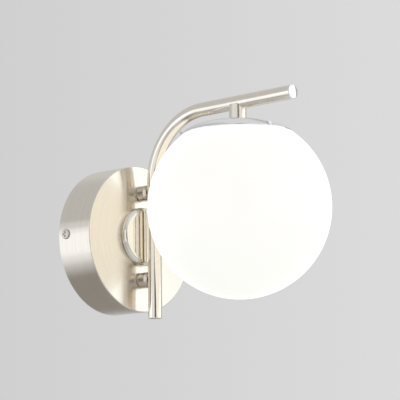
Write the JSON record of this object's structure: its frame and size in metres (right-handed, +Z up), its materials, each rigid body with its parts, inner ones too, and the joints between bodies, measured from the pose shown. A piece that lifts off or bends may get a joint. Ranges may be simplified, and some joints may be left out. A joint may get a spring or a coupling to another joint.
{
  "type": "globe wall sconce",
  "caption": "Wall sconce: an opal glass globe hung from a bent tube arm that stands off a round satin nickel canopy, with lampholder, bulb, bracket and wiring.",
  "frame": {"origin": "middle of the canopy on the wall plane, where the wall bracket's back lies on the wall", "axes": "+Z up, +Y into the wall, the lamp stands out along -Y; X runs along the wall"},
  "size_m": [0.15, 0.221, 0.1777],
  "materials": {
    "satin_nickel": "brushed satin nickel, warm grey",
    "chrome": "polished chrome plate",
    "zinc": "zinc plated steel",
    "brass": "plain brass",
    "opal_glass": "opal white glass, smooth",
    "opal_plastic": "milky diffuser plastic",
    "white_plastic": "moulded white thermoplastic",
    "dark_plastic": "potted electronics, dark",
    "brown_insulation": "brown wire insulation",
    "blue_insulation": "blue wire insulation",
    "green_insulation": "green and yellow wire insulation"
  },
  "bodies": {
    "fixture": {"wall_bracket": "zinc", "earth_screw": "zinc", "earth_lug": "brass", "terminal_block": "white_plastic", "terminal_barrels": "brass", "terminal_screws": "zinc", "block_fixing_screws": "zinc", "canopy": "satin_nickel", "centre_disc": "chrome", "disc_screw": "zinc", "upper_standoff": "satin_nickel", "lower_standoff": "satin_nickel", "standoff_washers": "zinc", "standoff_nuts": "brass", "arm_tube": "satin_nickel", "arm_end_cap": "chrome", "arm_foot_cap": "satin_nickel", "stem": "satin_nickel", "stem_nipple": "zinc", "nipple_washer": "zinc", "nipple_nut": "brass", "fitter_cap": "chrome", "lampholder_cap": "white_plastic", "lampholder_skirt": "white_plastic", "lampholder_insert": "white_plastic", "lampholder_screw_shell": "brass", "lampholder_contact": "brass", "lampholder_terminals": "brass", "live_wire": "brown_insulation", "neutral_wire": "blue_insulation", "earth_wire": "green_insulation"},
    "globe": {"globe": "opal_glass"},
    "bulb": {"bulb_tip_contact": "zinc", "bulb_screw_cap": "satin_nickel", "bulb_housing": "white_plastic", "bulb_led_board": "white_plastic", "bulb_driver": "dark_plastic", "bulb_diffuser": "opal_plastic"},
    "fitter_screw_front": {"fitter_screw_front": "zinc"},
    "fitter_screw_left": {"fitter_screw_left": "zinc"},
    "fitter_screw_right": {"fitter_screw_right": "zinc"},
    "canopy_screw_left": {"canopy_screw_left": "chrome"},
    "canopy_screw_right": {"canopy_screw_right": "chrome"}
  },
  "joints": [
    {"name": "globe_lower", "type": "slide", "parent": "fixture", "child": "globe", "axis": [0, 0, -1], "range_m": [0, 0.1]},
    {"name": "bulb_turn", "type": "hinge", "parent": "fixture", "child": "bulb", "pos_m": [0, -0.146, 0.04], "axis": [0, 0, 1], "range_deg": [0, 1080]},
    {"name": "fitter_screw_front_out", "type": "slide", "parent": "fixture", "child": "fitter_screw_front", "axis": [-0.309, -0.9511, 0], "range_m": [0, 0.003]},
    {"name": "fitter_screw_left_out", "type": "slide", "parent": "fixture", "child": "fitter_screw_left", "axis": [-0.6691, 0.7431, 0], "range_m": [0, 0.003]},
    {"name": "fitter_screw_right_out", "type": "slide", "parent": "fixture", "child": "fitter_screw_right", "axis": [0.9781, 0.2079, 0], "range_m": [0, 0.003]},
    {"name": "canopy_screw_left_out", "type": "slide", "parent": "fixture", "child": "canopy_screw_left", "axis": [-1, 0, 0], "range_m": [0, 0.0065]},
    {"name": "canopy_screw_right_out", "type": "slide", "parent": "fixture", "child": "canopy_screw_right", "axis": [1, 0, 0], "range_m": [0, 0.0065]}
  ]
}
